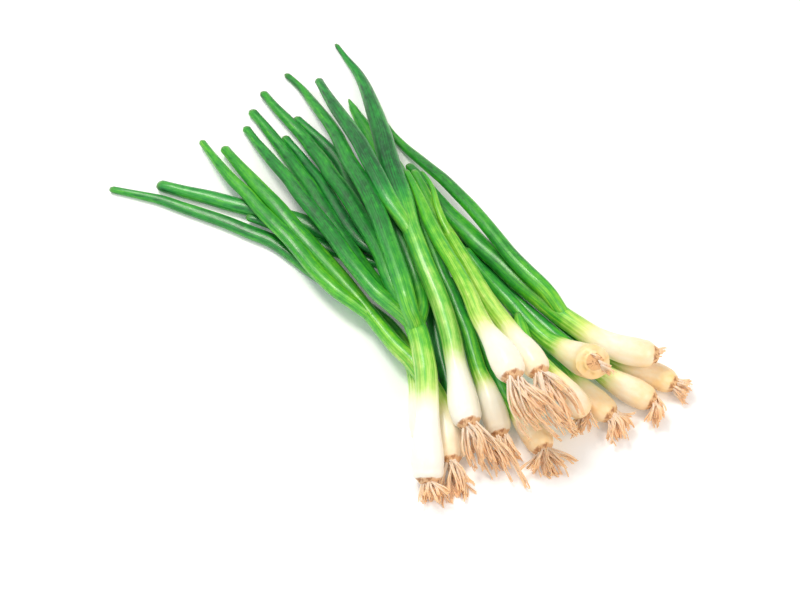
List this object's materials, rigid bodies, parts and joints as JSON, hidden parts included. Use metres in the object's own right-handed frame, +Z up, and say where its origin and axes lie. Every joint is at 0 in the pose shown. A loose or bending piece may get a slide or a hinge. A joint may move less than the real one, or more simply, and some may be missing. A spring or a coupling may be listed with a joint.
{
  "type": "spring onion bunch",
  "caption": "Loose heap of fresh spring onions lying on a surface, with white bulbs and root tufts at one end and long green hollow leaves at the other.",
  "frame": {"origin": "centre of the heap's bounding box, on the surface that the heap lies on", "axes": "+X from the bulbs to the leaf tips, +Y across the heap, +Z up"},
  "size_m": [0.3844, 0.2148, 0.0628],
  "materials": {
    "bulb_white": "smooth moist skin, white at the bulb and pale green up the stalk",
    "leaf_green": "satin waxy leaf with fine lengthwise veins",
    "root_tan": "dry matt strings"
  },
  "bodies": {
    "root": {"onion_01_shaft": "bulb_white", "onion_01_leaves": "leaf_green", "onion_01_roots": "root_tan", "onion_02_shaft": "bulb_white", "onion_02_leaves": "leaf_green", "onion_02_roots": "root_tan", "onion_03_shaft": "bulb_white", "onion_03_leaves": "leaf_green", "onion_03_roots": "root_tan", "onion_04_shaft": "bulb_white", "onion_04_leaves": "leaf_green", "onion_04_roots": "root_tan", "onion_05_shaft": "bulb_white", "onion_05_leaves": "leaf_green", "onion_05_roots": "root_tan", "onion_06_shaft": "bulb_white", "onion_06_leaves": "leaf_green", "onion_06_roots": "root_tan", "onion_07_shaft": "bulb_white", "onion_07_leaves": "leaf_green", "onion_07_roots": "root_tan", "onion_08_shaft": "bulb_white", "onion_08_leaves": "leaf_green", "onion_08_roots": "root_tan", "onion_09_shaft": "bulb_white", "onion_09_leaves": "leaf_green", "onion_09_roots": "root_tan", "onion_10_shaft": "bulb_white", "onion_10_leaves": "leaf_green", "onion_10_roots": "root_tan", "onion_11_shaft": "bulb_white", "onion_11_leaves": "leaf_green", "onion_11_roots": "root_tan", "onion_12_shaft": "bulb_white", "onion_12_leaves": "leaf_green", "onion_12_roots": "root_tan", "onion_13_shaft": "bulb_white", "onion_13_leaves": "leaf_green", "onion_13_roots": "root_tan", "onion_14_shaft": "bulb_white", "onion_14_leaves": "leaf_green", "onion_14_roots": "root_tan"}
  },
  "joints": []
}
